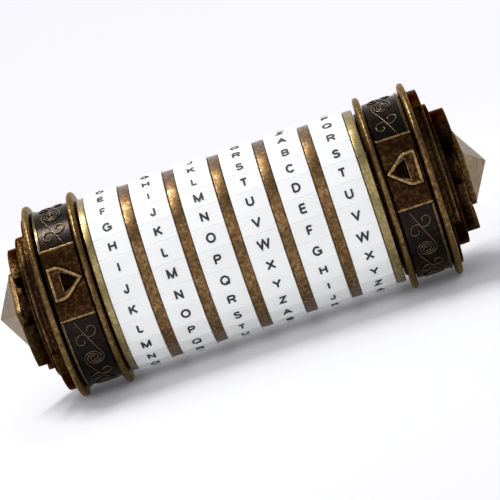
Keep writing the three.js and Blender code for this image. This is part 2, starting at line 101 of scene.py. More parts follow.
def new_object(name, data):
    """An object of the scene, for a mesh, a light or a camera."""
    item = bpy.data.objects.new(name, data)
    bpy.context.scene.collection.objects.link(item)
    return item


def finish_piece(piece, material, body, nodes=(), sharp_deg=35):
    """Gives a piece its material and shading and the body it rides on, and hides the CAD nodes it stands
    for.
    """
    mesh = piece.data
    mesh.materials.clear()
    mesh.materials.append(material)
    mesh.polygons.foreach_set("use_smooth", [True] * len(mesh.polygons))
    mesh.set_sharp_from_angle(angle=math.radians(sharp_deg))
    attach(piece, body)
    if nodes:
        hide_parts(*nodes)


def fillet(corners, closed=True, steps=4, most_of_edge=0.45):
    """Rounds a profile of (x, r, rounding) corners, and returns its points."""
    count = len(corners)
    rounded = []
    for i, (x, r, size) in enumerate(corners):
        here = np.array([x, r], float)
        if not closed and i in (0, count - 1):
            rounded.append(here)
            continue
        before = np.array(corners[i - 1][:2], float) - here
        after = np.array(corners[(i + 1) % count][:2], float) - here
        reach = min(size, most_of_edge * np.linalg.norm(before), most_of_edge * np.linalg.norm(after))
        start = here + before / np.linalg.norm(before) * reach
        end = here + after / np.linalg.norm(after) * reach
        for t in np.linspace(0, 1, steps + 1):
            rounded.append((1 - t) ** 2 * start + 2 * t * (1 - t) * here + t * t * end)
    return np.array(rounded)


def angles(count, *extra, clear=0.2):
    """Evenly spaced angles in degrees, with extra ones in place of those that they nearly meet."""
    even = np.arange(count) * 360.0 / count
    extra = np.mod(np.array(extra, float), 360.0)
    kept = [a for a in even if not len(extra) or np.min(np.abs(extra - a)) > clear]
    return np.sort(np.concatenate([kept, extra]))


def polar_points(x, r, degrees):
    """Points about the lock's axis: 0 degrees is -Y, and positive turns towards +Z."""
    a = np.radians(degrees)
    return np.stack([x + 0 * a, -r * np.cos(a), AXIS_HEIGHT + r * np.sin(a)], axis=-1)


def skin(rows, columns, start_pole, end_pole, ring_closed):
    """Faces over a grid of rows, each closed round the axis, numbered row by row. Poles are points
    that close its ends. With ring_closed the last row joins the first instead."""
    faces = []
    last = rows if ring_closed else rows - 1
    for i in range(last):
        for j in range(columns):
            a, b = i * columns + j, i * columns + (j + 1) % columns
            c, d = (i + 1) % rows * columns + (j + 1) % columns, (i + 1) % rows * columns + j
            faces.append((a, b, c, d))
    if start_pole is not None:
        faces += [(start_pole, (j + 1) % columns, j) for j in range(columns)]
    if end_pole is not None:
        base = (rows - 1) * columns
        faces += [(end_pole, base + j, base + (j + 1) % columns) for j in range(columns)]
    return faces


def turned_mesh(profile, degrees, radius_of=None):
    """Points and faces of a profile turned about the axis. The profile is taken clockwise, with x to
    the right and r up. One that starts and ends on the axis is capped, any other closes on itself.
    radius_of(r, degrees) may change a row's radius round the axis."""
    on_axis = profile[0][1] < TINY
    rows = profile[1:-1] if on_axis else profile
    points = []
    for x, r in rows:
        points.append(polar_points(x, radius_of(r, degrees) if radius_of else r, degrees))
    points = np.concatenate(points)
    start = end = None
    if on_axis:
        start, end = len(points), len(points) + 1
        poles = [(profile[0][0], 0, AXIS_HEIGHT), (profile[-1][0], 0, AXIS_HEIGHT)]
        points = np.concatenate([points, poles])
    faces = skin(len(rows), len(degrees), start, end, not on_axis)
    return points, [tuple(reversed(face)) for face in faces]


def cap_place(side):
    """Moves a cap made with its axis along +X from 0, shield at -Y, to its place on the lock."""
    to_axis = Matrix.Translation((0, 0, AXIS_HEIGHT * MM))
    turn = Matrix.Rotation(math.radians(-SHIELD_DEG), 4, "X")
    if side == "drawer":
        return Matrix.Translation((DRAWER_FACE * MM, 0, 0)) @ to_axis @ turn @ to_axis.inverted()
    half_turn = Matrix.Rotation(math.pi, 4, "Y")
    place = Matrix.Translation((FIXED_FACE * MM, 0, 0))
    return place @ to_axis @ turn @ half_turn @ to_axis.inverted()


# ---- materials ----


class Nodes:
    """A thin helper over one material's node tree. A value is a number, a colour or an output."""

    def __init__(self, name):
        self.material = bpy.data.materials.new(name)
        self.material.use_nodes = True
        self.tree = self.material.node_tree
        self.shader = self.tree.nodes["Principled BSDF"]
        self.place = self.add("TexCoord").outputs["Object"]

    def add(self, kind, inputs=(), **settings):
        """A new node with its settings, and a value for each of the named or numbered inputs."""
        node = self.tree.nodes.new("ShaderNode" + kind)
        for name, setting in settings.items():
            setattr(node, name, setting)
        for key, value in dict(inputs).items():
            self.fill(node.inputs[key], value)
        return node

    def fill(self, socket, value):
        if isinstance(value, (int, float)):
            socket.default_value = value
        elif isinstance(value, tuple):
            socket.default_value = (*value, 1.0)
        else:
            self.tree.links.new(value, socket)

    def set(self, **values):
        """Fills inputs of the shader, named with _ for each space."""
        for name, value in values.items():
            self.fill(self.shader.inputs[name.replace("_", " ")], value)

    def noise(self, scale, detail=4.0, roughness=0.6, distortion=0.0):
        """Noise in spots about a metre divided by scale across."""
        node = self.add("TexNoise", {
            "Vector": self.place, "Scale": scale, "Detail": detail, "Roughness": roughness,
            "Distortion": distortion})
        return node.outputs["Fac"]

    def ramp(self, value, *stops):
        """A colour ramp of (position, colour) stops."""
        node = self.add("ValToRGB", {"Fac": value})
        elements = node.color_ramp.elements
        while len(elements) < len(stops):
            elements.new(0.5)
        for element, (position, color) in zip(elements, stops):
            element.position = position
            element.color = (*color, 1.0)
        return node.outputs["Color"]

    def level(self, value, low, high, to_low=0.0, to_high=1.0):
        """Spreads a value's range from low to high over another range."""
        node = self.add("MapRange", {
            "Value": value, "From Min": low, "From Max": high, "To Min": to_low, "To Max": to_high})
        return node.outputs["Result"]

    def product(self, a, b):
        return self.add("Math", {0: a, 1: b}, operation="MULTIPLY", use_clamp=True).outputs["Value"]

    def mix(self, factor, a, b):
        """Blends colour a into colour b. A Mix node's colours are its inputs 6 and 7 and its output 2."""
        return self.add("Mix", {0: factor, 6: a, 7: b}, data_type="RGBA").outputs[2]

    def attribute(self, name):
        return self.add("Attribute", attribute_name=name).outputs["Fac"]

    def bump(self, height, strength, distance):
        node = self.add("Bump", {"Height": height, "Strength": strength, "Distance": distance})
        self.set(Normal=node.outputs["Normal"])


def patina_metal(name, dark, middle, bright, worn=None, roughness=(0.25, 0.40), grain=1.0,
                 sheen=(1, 1, 1)):
    """Metal mottled from dark to bright. With a worn colour it also reads two marks on the points: it is
    rubbed to that colour where the wear mark is high, and painted shade darkens it to near black where
    the other mark is high, in hollows and at the foot of walls. Grain is the strength of the fine specks,
    and sheen the colour of reflections at a low angle."""
    n = Nodes(name)
    broad = n.noise(190.0, distortion=0.3)
    mottle = n.noise(1100.0, detail=5.0, roughness=0.65, distortion=0.2)
    speckle = n.noise(3600.0, detail=3.0)
    patina = n.ramp(mottle, (0.28, dark), (0.50, middle), (0.76, bright))
    color = n.mix(n.level(broad, 0.35, 0.62, 0.45, 0.0), patina, dark)
    color = n.mix(n.level(speckle, 0.52, 0.70, 0.0, 0.45 * grain), color, dark)
    if worn:
        rubbed = n.product(n.attribute("wear"), n.level(mottle, 0.38, 0.60, 0.30, 0.95))
        color = n.mix(rubbed, color, worn)
        # painted shade: where the second mark is high the colour is darkened towards black, in place of
        # the shade that falls in hollows
        shade = n.product(n.attribute("painted_shade"), 0.9)
        color = n.mix(shade, color, tuple(0.2 * c for c in dark))
    smoothest, roughest = roughness
    n.set(Base_Color=color, Metallic=1.0, Roughness=n.level(mottle, 0.3, 0.7, roughest, smoothest),
          Specular_Tint=sheen)
    n.bump(speckle, 0.22 * grain, 0.05 * MM)
    return n.material


def enamel(name):
    """White stoved paint, with faint clouds and the slight waviness of sprayed paint."""
    n = Nodes(name)
    cloud = n.noise(60.0, detail=3.0, roughness=0.5)
    white = n.ramp(cloud, (0.3, (0.89, 0.90, 0.89)), (0.7, (0.92, 0.93, 0.92)))
    peel = n.noise(700.0, detail=2.0, roughness=0.5)
    n.set(Base_Color=white, Roughness=n.level(peel, 0.3, 0.7, 0.30, 0.40))
    n.bump(peel, 0.05, 0.03 * MM)
    return n.material


def ink(name):
    """Black print with a fine grain."""
    n = Nodes(name)
    grain = n.noise(1500.0, detail=2.0, roughness=0.5)
    black = n.ramp(grain, (0.3, (0.008, 0.008, 0.010)), (0.7, (0.016, 0.016, 0.020)))
    n.set(Base_Color=black, Roughness=n.level(grain, 0.3, 0.7, 0.42, 0.55))
    return n.material


BRONZE = patina_metal(
    "antique_bronze", (0.014, 0.005, 0.002), (0.062, 0.026, 0.008), (0.23, 0.128, 0.046),
    worn=(0.46, 0.31, 0.125), sheen=(0.90, 0.76, 0.56))
PLATE_BRONZE = patina_metal(
    "plate_bronze", (0.009, 0.004, 0.002), (0.036, 0.015, 0.005), (0.15, 0.085, 0.034),
    worn=(0.38, 0.25, 0.11), grain=0.7, sheen=(0.55, 0.38, 0.24))
DARK_BRONZE = patina_metal(
    "dark_bronze", (0.004, 0.002, 0.001), (0.017, 0.007, 0.003), (0.090, 0.044, 0.018),
    worn=(0.30, 0.19, 0.08), sheen=(0.50, 0.39, 0.30))
GUNMETAL = patina_metal(
    "gunmetal", (0.011, 0.008, 0.007), (0.017, 0.013, 0.011), (0.032, 0.025, 0.020),
    worn=(0.26, 0.18, 0.09), roughness=(0.17, 0.24), grain=0.2, sheen=(0.70, 0.66, 0.62))
SCROLLWORK = patina_metal(
    "scrollwork", (0.060, 0.043, 0.029), (0.100, 0.074, 0.050), (0.18, 0.135, 0.09),
    roughness=(0.20, 0.28), grain=0.2)
END_BRASS = patina_metal(
    "brushed_brass", (0.17, 0.120, 0.042), (0.33, 0.25, 0.11), (0.58, 0.49, 0.26), grain=0.5)
DIVIDER = patina_metal(
    "divider_bronze", (0.070, 0.034, 0.012), (0.20, 0.112, 0.045), (0.48, 0.34, 0.17), grain=0.9)
FINIAL = patina_metal(
    "finial_brass", (0.15, 0.100, 0.058), (0.26, 0.190, 0.110), (0.36, 0.28, 0.175),
    roughness=(0.30, 0.40), grain=0.15)
MACHINED = patina_metal(
    "machined_brass", (0.34, 0.23, 0.09), (0.55, 0.40, 0.17), (0.74, 0.58, 0.30), grain=0.3)
STEEL = patina_metal(
    "steel", (0.26, 0.26, 0.26), (0.46, 0.46, 0.45), (0.66, 0.66, 0.65), grain=0.3)
ENAMEL = enamel("white_enamel")
INK = ink("letter_ink")

# ---- rings ----

LETTER_RING_RADIUS = 23.1
LETTER_RING_BORE = 19.9
FLATNESS = 0.25              # 0 gives a round ring, and 1 gives true flats
GROOVE_DEG = 0.26            # between two flats: its half width and its depth
GROOVE_DEPTH = 0.20
DIVIDER_RADIUS = 22.4
END_RING_RADIUS = 22.5
SPINDLE_BORE = 14.45
KEY_TIP = 12.5
KEY_WIDTH = 2.4
NOTCH_RADIUS = 17.8
NOTCH_WIDTH = 4.6


def half_angle(width, radius):
    """Half of the angle that a slot takes up at a radius, in degrees."""
    return math.degrees(math.asin(width / 2 / radius))


def turned_piece(node, profile, degrees, radius_of, material, body, sharp_deg=35):
    """The finer shape of a CAD node that is turned about the axis."""
    mesh = new_mesh(node + "_fine", *turned_mesh(profile, degrees, radius_of))
    finish_piece(new_object(node + "_fine", mesh), material, body, [node], sharp_deg)


def keyed_ring(node, radius, material):
    """A ring round the barrel, with a key at the back of its bore and a notch on the code row."""
    x0, x1 = span(node, X)
    inner_edge, outer_edge = 0.15, 0.3
    profile = fillet([
        (x0, SPINDLE_BORE, inner_edge), (x0, radius, outer_edge),
        (x1, radius, outer_edge), (x1, SPINDLE_BORE, inner_edge)])
    notch_mouth = half_angle(NOTCH_WIDTH, SPINDLE_BORE)
    notch_floor = half_angle(NOTCH_WIDTH, NOTCH_RADIUS)
    key_root = half_angle(KEY_WIDTH, SPINDLE_BORE)
    key_tip = half_angle(KEY_WIDTH, KEY_TIP)
    row, back = CODE_ROW_DEG, CODE_ROW_DEG + 180
    corners = [row + side * half for side in (-1, 1) for half in (notch_mouth, notch_floor)]
    corners += [back + side * half for side in (-1, 1) for half in (key_tip, key_root)]

    def radius_of(r, at):
        if r > (SPINDLE_BORE + radius) / 2:
            return r
        from_row = np.abs((at - row + 180) % 360 - 180)
        from_back = np.abs((at - back + 180) % 360 - 180)
        radii = np.where(from_row <= notch_floor + TINY, NOTCH_RADIUS, r)
        return np.where(from_back <= key_root + TINY, KEY_TIP, radii)

    turned_piece(node, profile, angles(180, *corners), radius_of, material, "root")


def letter_ring(index):
    """A white ring with 26 slightly crowned flats that meet in fine grooves. The bore is round."""
    node = f"letter_ring_{index + 1}"
    x0, x1 = span(node, X)
    turn = CODE_ROW_DEG + HAND_SET_DEG[index]
    flat = LETTER_RING_RADIUS * math.cos(math.radians(FACET_DEG / 2))
    grooves = turn + FACET_DEG * (np.arange(len(LETTERS)) + 0.5)
    across_groove = np.array([-2.2, -1.0, 0.0, 1.0, 2.2]) * GROOVE_DEG
    degrees = np.sort(np.mod((grooves[:, None] + across_groove).ravel(), 360))

    def radius_of(r, at):
        if r < (LETTER_RING_BORE + LETTER_RING_RADIUS) / 2:
            return r
        from_middle = np.abs((at - turn + FACET_DEG / 2) % FACET_DEG - FACET_DEG / 2)
        true_flat = (flat - (LETTER_RING_RADIUS - r)) / np.cos(np.radians(from_middle))
        crowned = FLATNESS * true_flat + (1 - FLATNESS) * r
        in_groove = np.clip(1 - (FACET_DEG / 2 - from_middle) / (1.6 * GROOVE_DEG), 0, 1)
        return crowned - GROOVE_DEPTH * in_groove

    inner_edge, outer_edge = 0.1, 0.22
    profile = fillet([
        (x0, LETTER_RING_BORE, inner_edge), (x0, LETTER_RING_RADIUS, outer_edge),
        (x1, LETTER_RING_RADIUS, outer_edge), (x1, LETTER_RING_BORE, inner_edge)])
    body = f"ring_{index + 1}"
    turned_piece(node, profile, degrees, radius_of, ENAMEL, body, sharp_deg=20)


# ---- printed letters ----

CAP_HEIGHT = 2.55
STEM = 0.20                  # stroke width, in cap heights
INK_PROUD = 0.015            # height of the print over the ring
INK_SUNK = 0.08              # and how far it reaches down into it


def arc(cx, cy, rx, ry, start, end, steps=14):
    """Points on an ellipse, from one angle to another in degrees."""
    turns = np.radians(np.linspace(start, end, steps + 1))
    return [(cx + rx * math.cos(a), cy + ry * math.sin(a)) for a in turns]


def glyphs():
    """Each capital as its width in cap heights, and the middle lines of its strokes in a unit box."""
    stem = [(0, 0), (0, 1)]
    bowl = [(0, 1), (0.58, 1), *arc(0.60, 0.745, 0.40, 0.255, 85, -85), (0.58, 0.49), (0, 0.49)]
    low_bowl = [(0, 0.52), (0.60, 0.52), *arc(0.64, 0.26, 0.36, 0.26, 85, -85), (0.60, 0), (0, 0)]
    small_bowl = [(0, 1), (0.58, 1), *arc(0.60, 0.76, 0.34, 0.24, 85, -85), (0.58, 0.52), (0, 0.52)]
    dee = [(0, 1), (0.40, 1), *arc(0.42, 0.5, 0.58, 0.5, 87, -87, 20), (0.40, 0), (0, 0)]
    round_o = arc(0.5, 0.5, 0.5, 0.5, 90, 450, 36)
    ess = arc(0.5, 0.755, 0.43, 0.245, 22, 262) + arc(0.5, 0.26, 0.49, 0.26, 80, -160)
    return {
        "A": (0.96, [[(0, 0), (0.5, 1), (1, 0)], [(0.15, 0.31), (0.85, 0.31)]]),
        "B": (0.76, [stem, small_bowl, low_bowl]),
        "C": (0.88, [arc(0.5, 0.5, 0.5, 0.5, 40, 320, 26)]),
        "D": (0.82, [stem, dee]),
        "E": (0.73, [stem, [(0, 1), (1, 1)], [(0, 0.52), (0.93, 0.52)], [(0, 0), (1.03, 0)]]),
        "F": (0.67, [stem, [(0, 1), (1, 1)], [(0, 0.50), (0.85, 0.50)]]),
        "G": (0.90, [arc(0.5, 0.5, 0.5, 0.5, 42, 308, 26) + [(1, 0.14), (1, 0.46), (0.56, 0.46)]]),
        "H": (0.79, [stem, [(1, 0), (1, 1)], [(0, 0.53), (1, 0.53)]]),
        "I": (STEM, [[(0.5, 0), (0.5, 1)]]),
        "J": (0.56, [[(1, 1), (1, 0.30), *arc(0.5, 0.30, 0.5, 0.30, -5, -175), (0, 0.34)]]),
        "K": (0.82, [stem, [(0.93, 1), (0, 0.34)], [(0.34, 0.58), (1, 0)]]),
        "L": (0.62, [stem, [(0, 0), (1, 0)]]),
        "M": (0.95, [[(0, 0), (0, 1), (0.5, 0.02), (1, 1), (1, 0)]]),
        "N": (0.79, [[(0, 0), (0, 1), (1, 0), (1, 1)]]),
        "O": (0.96, [round_o]),
        "P": (0.76, [stem, bowl]),
        "Q": (0.96, [round_o, [(0.60, 0.28), (1.0, -0.04)]]),
        "R": (0.84, [stem, bowl, [(0.48, 0.49), (0.66, 0.42), (1, 0)]]),
        "S": (0.78, [ess]),
        "T": (0.80, [[(0, 1), (1, 1)], [(0.5, 1), (0.5, 0)]]),
        "U": (0.79, [[(0, 1), (0, 0.34), *arc(0.5, 0.34, 0.5, 0.34, 185, 355), (1, 0.34), (1, 1)]]),
        "V": (0.94, [[(0, 1), (0.5, 0), (1, 1)]]),
        "W": (1.36, [[(0, 1), (0.25, 0), (0.5, 0.98), (0.75, 0), (1, 1)]]),
        "X": (0.92, [[(0, 1), (1, 0)], [(1, 1), (0, 0)]]),
        "Y": (0.92, [[(0, 1), (0.5, 0.44), (1, 1)], [(0.5, 0.46), (0.5, 0)]]),
        "Z": (0.80, [[(0.03, 1), (0.98, 1), (0, 0), (1, 0)]]),
    }


def ribbon(line, width):
    """Both sides of a stroke round its middle line, with mitred corners, and whether it is closed."""
    points = np.array(line, float)
    closed = np.allclose(points[0], points[-1])
    steps = np.diff(points, axis=0)
    steps /= np.linalg.norm(steps, axis=1)[:, None]
    sides = np.stack([-steps[:, 1], steps[:, 0]], axis=1)
    before = np.vstack([sides[-1:] if closed else sides[:1], sides])
    after = np.vstack([sides, sides[:1] if closed else sides[-1:]])
    mitre = before + after
    mitre /= (1 + np.sum(before * after, axis=1))[:, None]
    return points + mitre * width / 2, points - mitre * width / 2, closed


def stroke_solid(line):
    """A stroke as a closed bar, standing from 0 to 1."""
    left, right, closed = ribbon(line, STEM)
    count = len(left) - 1 if closed else len(left)
    flat = np.stack([left, right], axis=1)[:count].reshape(-1, 2)
    top = len(flat)
    low = np.column_stack([flat, np.zeros(top)])
    high = np.column_stack([flat, np.ones(top)])
    faces = []
    for i in range(count if closed else count - 1):
        a, b = 2 * i, 2 * ((i + 1) % count)
        faces += [(a, b, b + 1, a + 1), (top + a + 1, top + b + 1, top + b, top + a)]
        faces += [(a, top + a, top + b, b), (a + 1, b + 1, top + b + 1, top + a + 1)]
    if not closed:
        last = 2 * (count - 1)
        faces += [(0, 1, top + 1, top), (last + 1, last, top + last, top + last + 1)]
    mesh = bpy.data.meshes.new("stroke")
    mesh.from_pydata([*low.tolist(), *high.tolist()], [], faces)
    return mesh


def modified_mesh(item):
    """An object's mesh as its modifiers leave it."""
    bpy.context.view_layer.update()
    shaped = item.evaluated_get(bpy.context.evaluated_depsgraph_get())
    return bpy.data.meshes.new_from_object(shaped)


def boolean(mesh, operation, other):
    """The mesh joined with, cut by or held within another, as a new mesh."""
    target, tool = new_object("target", mesh), new_object("tool", other)
    modifier = target.modifiers.new("boolean", "BOOLEAN")
    modifier.operation = operation
    modifier.solver = "EXACT"
    modifier.object = tool
    result = modified_mesh(target)
    bpy.data.objects.remove(target)
    bpy.data.objects.remove(tool)
    return result


def box_mesh(low, high):
    """A plain block between two corners, in the units of whatever it is joined with or cuts."""
    (x0, y0, z0), (x1, y1, z1) = low, high
    corners = [(x, y, z) for x in (x0, x1) for y in (y0, y1) for z in (z0, z1)]
    faces = [(0, 1, 3, 2), (4, 6, 7, 5), (0, 4, 5, 1), (2, 3, 7, 6), (0, 2, 6, 4), (1, 5, 7, 3)]
    mesh = bpy.data.meshes.new("block")
    mesh.from_pydata(corners, [], faces)
    return mesh


def glyph_mesh(width, strokes):
    """A letter in cap heights, centred, lying in the XY plane and standing from 0 to 1 along Z."""
    solid = None
    for stroke in strokes:
        line = [(STEM / 2 + x * (width - STEM), STEM / 2 + y * (1 - STEM)) for x, y in stroke]
        bar = stroke_solid(line)
        solid = bar if solid is None else boolean(solid, "UNION", bar)
    # Stroke ends are cut off level with the line. Wide letters, Q's tail among them, may pass it.
    foot = -0.09 if width > 0.955 else 0
    solid = boolean(solid, "INTERSECT", box_mesh((-1, foot, -1), (3, 1, 2)))
    solid.transform(Matrix.Translation((-width / 2, -0.5, 0)))
    return solid


def printed_letters(index, shapes):
    """All 26 letters of one ring, each on its own flat, reading downwards."""
    x0, x1 = span(f"letter_ring_{index + 1}", X)
    turn = CODE_ROW_DEG + HAND_SET_DEG[index]
    flat = LETTER_RING_RADIUS * (FLATNESS * math.cos(math.radians(FACET_DEG / 2)) + 1 - FLATNESS)
    middle = Matrix.Translation(((x0 + x1) / 2 * MM, 0, AXIS_HEIGHT * MM))
    outward = Matrix.Translation((0, 0, (flat - INK_SUNK) * MM))
    size = Matrix.Diagonal((CAP_HEIGHT * MM, CAP_HEIGHT * MM, (INK_PROUD + INK_SUNK) * MM, 1))
    on_row = LETTERS.index(ROW_WORD[index])
    built = bmesh.new()
    for place, letter in enumerate(LETTERS):
        degrees = turn - FACET_DEG * (place - on_row)
        facing = Matrix.Rotation(math.radians(90 - degrees), 4, "X")
        copy = shapes[letter].copy()
        copy.transform(middle @ facing @ outward @ size)
        built.from_mesh(copy)
        bpy.data.meshes.remove(copy)
    mesh = bpy.data.meshes.new(f"letters_{index + 1}")
    built.to_mesh(mesh)
    built.free()
    finish_piece(new_object(mesh.name, mesh), INK, f"ring_{index + 1}")


# ---- end caps ----
# Each cap is made along +X from 0, with its shield at -Y, and then put in its place. Angles round
# a cap are from its shield, positive downwards on the drawer's cap.

INNER_RIM = (0.0, 1.75)      # where each rim starts and ends, from the inner rim's face
OUTER_RIM = (11.62, CAP_RIM_FACE)
RIM_ROOT = 23.5              # where a rim's rounding starts, and where its side does
RIM_FOOT = 22.6
CHANNEL_RADIUS = 21.6
CHANNEL_CORNER = 22.4
BOSS_RADIUS = 21.2
WEB = 2.5                    # the collar's wall across its axis, and the hole in that wall
WEB_HOLE = 14.6
COLLAR_BORE = (18.9, 19.0)   # at the web and at the outer rim
BAND_EDGES = (2.03, 11.20)
BAND_RADIUS = 22.75
BAND_BACK = 21.9
BAND_EDGE = 0.16             # rounding of the band's and the plate's edges
BORDER = (10.40, 11.20)      # raised strip along the band's outer edge
BORDER_RADIUS = 23.05
SHIELD_HALF_DEG = 23.6


def cap_piece(side, name, points, faces, material, nodes, sharp_deg, wear=None, painted_shade=None):
    """A piece of one cap, moved to its place. The wear mark and the painted shade mark that the material
    reads are for its first points, and the rest have none."""
    mesh = new_mesh(name, points, faces)
    mesh.transform(cap_place(side))
    piece = new_object(f"{side}_{name}", mesh)
    for label, marks in (("wear", wear), ("painted_shade", painted_shade)):
        if marks is not None:
            values = np.zeros(len(points), np.float32)
            values[:marks.size] = marks.ravel()
            mesh.attributes.new(label, "FLOAT", "POINT").data.foreach_set("value", values)
    body = "drawer" if side == "drawer" else "root"
    finish_piece(piece, material, body, [f"{side}_{node}" for node in nodes], sharp_deg)


def bead(x0, x1, steps=16, fullness=2.5):
    """The rounded section of a rim, from its left side over the crest to its right side."""
    middle, half = (x0 + x1) / 2, (x1 - x0) / 2
    power = 2 / fullness
    points = []
    for t in np.linspace(math.pi, 0, steps + 1):
        along = math.copysign(abs(math.cos(t)) ** power, math.cos(t))
        rise = (RIM_RADIUS - RIM_ROOT) * math.sin(t) ** power
        points.append((middle + half * along, RIM_ROOT + rise))
    return points


def collar(side):
    """The cast collar: two rounded rims, the channel between them and the boss next to the rings."""
    boss, chamfer = BOSS[side], 0.1
    outline = [(-boss, WEB_HOLE), (-boss, BOSS_RADIUS - chamfer), (chamfer - boss, BOSS_RADIUS)]
    outline += [(0, BOSS_RADIUS), (0, RIM_FOOT), *bead(*INNER_RIM)]
    outline += [(INNER_RIM[1] + 0.03, RIM_FOOT), (INNER_RIM[1] + 0.10, CHANNEL_RADIUS)]
    outline += [(OUTER_RIM[0] - 0.20, CHANNEL_RADIUS), (OUTER_RIM[0] - 0.12, CHANNEL_CORNER)]
    outline += [*bead(*OUTER_RIM), (CAP_RIM_FACE, RIM_FOOT)]
    outline += [(CAP_RIM_FACE, COLLAR_BORE[1]), (WEB, COLLAR_BORE[0]), (WEB, WEB_HOLE)]
    outline = np.array(outline)
    degrees = angles(256)
    points, faces = turned_mesh(outline, degrees)
    radii = np.repeat(outline[:, 1], len(degrees))
    wear = np.clip((radii - 24.4) / 0.6, 0, 1) * 0.35      # on the rims' crests
    painted_shade = np.clip((23.4 - radii) / 0.9, 0, 1)           # painted shade, between and inside the rims
    cap_piece(side, "collar_fine", points, faces, BRONZE, ["collar"], 50, wear, painted_shade)


def slab(across, degrees, surface):
    """A closed plate bent round the axis, with its back at BAND_BACK. surface(x, degrees) gives the
    radius of its top, how worn it is, and how much painted shade it gets. Returns points, faces, wear and
    painted shade."""
    xs, phis = np.meshgrid(across, degrees, indexing="ij")
    tops, wear, painted_shade = surface(xs, phis)
    rows, columns = xs.shape
    top = polar_points(xs, tops, -phis).reshape(-1, 3)
    back = polar_points(xs, BAND_BACK, -phis).reshape(-1, 3)
    count = rows * columns
    faces = []
    for i in range(rows - 1):
        for j in range(columns - 1):
            a, b = i * columns + j, i * columns + j + 1
            c, d = b + columns, a + columns
            faces.append((a, b, c, d))
            faces.append((count + d, count + c, count + b, count + a))
    number = np.arange(count).reshape(rows, columns)
    border = np.concatenate([number[:, 0], number[-1, 1:], number[-2::-1, -1], number[0, -2:0:-1]])
    border = border.tolist()
    faces += [(a, b, count + b, count + a) for a, b in zip(border, border[1:] + border[:1])]
    return np.concatenate([top, back]), faces, wear, painted_shade


def edge_round(distance, radius):
    """How far a rounded edge falls away at a distance inside it."""
    t = np.clip(1 - distance / radius, 0, 1)
    return radius * (1 - np.sqrt(np.clip(1 - t * t, 0, 1)))


def smooth(low, high, value):
    """An even rise from 0 at low to 1 at high. A low above the high makes it a fall."""
    t = np.clip((value - low) / (high - low), 0, 1)
    return t * t * (3 - 2 * t)


def catmull(knots, step=0.12):
    """A smooth curve through knots, as points about a step apart."""
    knots = np.array(knots, float)
    padded = np.vstack([2 * knots[0] - knots[1], knots, 2 * knots[-1] - knots[-2]])
    points = []
    for a, b, c, d in zip(padded, padded[1:], padded[2:], padded[3:]):
        steps = max(2, int(np.linalg.norm(c - b) / step))
        for t in np.arange(steps) / steps:
            points.append(0.5 * (2 * b + (c - a) * t + (2 * a - 5 * b + 4 * c - d) * t * t
                                 + (3 * b - 3 * c + d - a) * t ** 3))
    points.append(knots[-1])
    return np.array(points)


SCROLL_PERIOD_DEG = 36.0
SCROLL_REACH = (2.47, 0.45)  # from a spiral's middle to its first turn and to its last point
SPIRAL_DEG = 492
SCROLL_WIRE = 0.23           # radius of the raised line
SCROLL_LIFT = 0.06           # of the line's middle over the band
SCROLL_MIDDLE = 6.3
SCROLL_SCRAP = 8             # a piece of line with fewer points is left out
DIAGONAL = [(0, 0), (0.82, 2.05), (1.70, 4.30), (2.26, 5.75)]
CURL = [(-0.33, -0.75), (0.10, 0.10), (0.70, 0.52), (1.45, 0.52), (2.10, 0.20), (2.62, -0.40),
        (2.80, -1.20), (2.45, -2.00), (1.65, -2.30), (0.95, -2.00), (0.75, -1.45), (1.05, -1.00)]


def scroll_lines():
    """One period of the scroll as lines of (across, along) points, about the place where its long
    diagonal crosses the middle: half a diagonal into its spiral, and a curl. The other half is the
    same turned half round."""
    half_period = math.radians(SCROLL_PERIOD_DEG / 2) * BAND_RADIUS
    turns = np.radians(np.linspace(0, SPIRAL_DEG, 42))
    reach = SCROLL_REACH[0] - (SCROLL_REACH[0] - SCROLL_REACH[1]) * turns / turns[-1]
    spiral = np.stack([reach * np.cos(turns), half_period + reach * np.sin(turns)], axis=1)
    arm = catmull(np.vstack([DIAGONAL, spiral]))
    return [arm, -arm, catmull(CURL), -catmull(CURL)]


def wire(line, sides=8):
    """A round raised line along points of (across, degrees), as points and faces. It thins out over
    the last few points at each end."""
    xs, phis = line[:, 0], line[:, 1]
    centre = polar_points(xs, BAND_RADIUS + SCROLL_LIFT, -phis)
    along = np.gradient(centre, axis=0)
    along /= np.linalg.norm(along, axis=1)[:, None]
    out = polar_points(0, 1, -phis) - (0, 0, AXIS_HEIGHT)
    side = np.cross(along, out)
    to_end = np.minimum(np.arange(len(xs)), np.arange(len(xs))[::-1])
    scale = np.sqrt(np.clip((to_end + 0.35) / 2.5, 0, 1))[:, None] * SCROLL_WIRE
    rings = []
    for k in range(sides):
        a = 2 * math.pi * k / sides
        rings.append(centre + scale * (math.cos(a) * side + math.sin(a) * out))
    points = np.stack(rings, axis=1).reshape(-1, 3)
    faces = []
    for i in range(len(xs) - 1):
        for k in range(sides):
            a, b = i * sides + k, i * sides + (k + 1) % sides
            faces.append((a, b, b + sides, a + sides))
    faces.append(tuple(range(sides - 1, -1, -1)))
    faces.append(tuple((len(xs) - 1) * sides + k for k in range(sides)))
    return points, faces


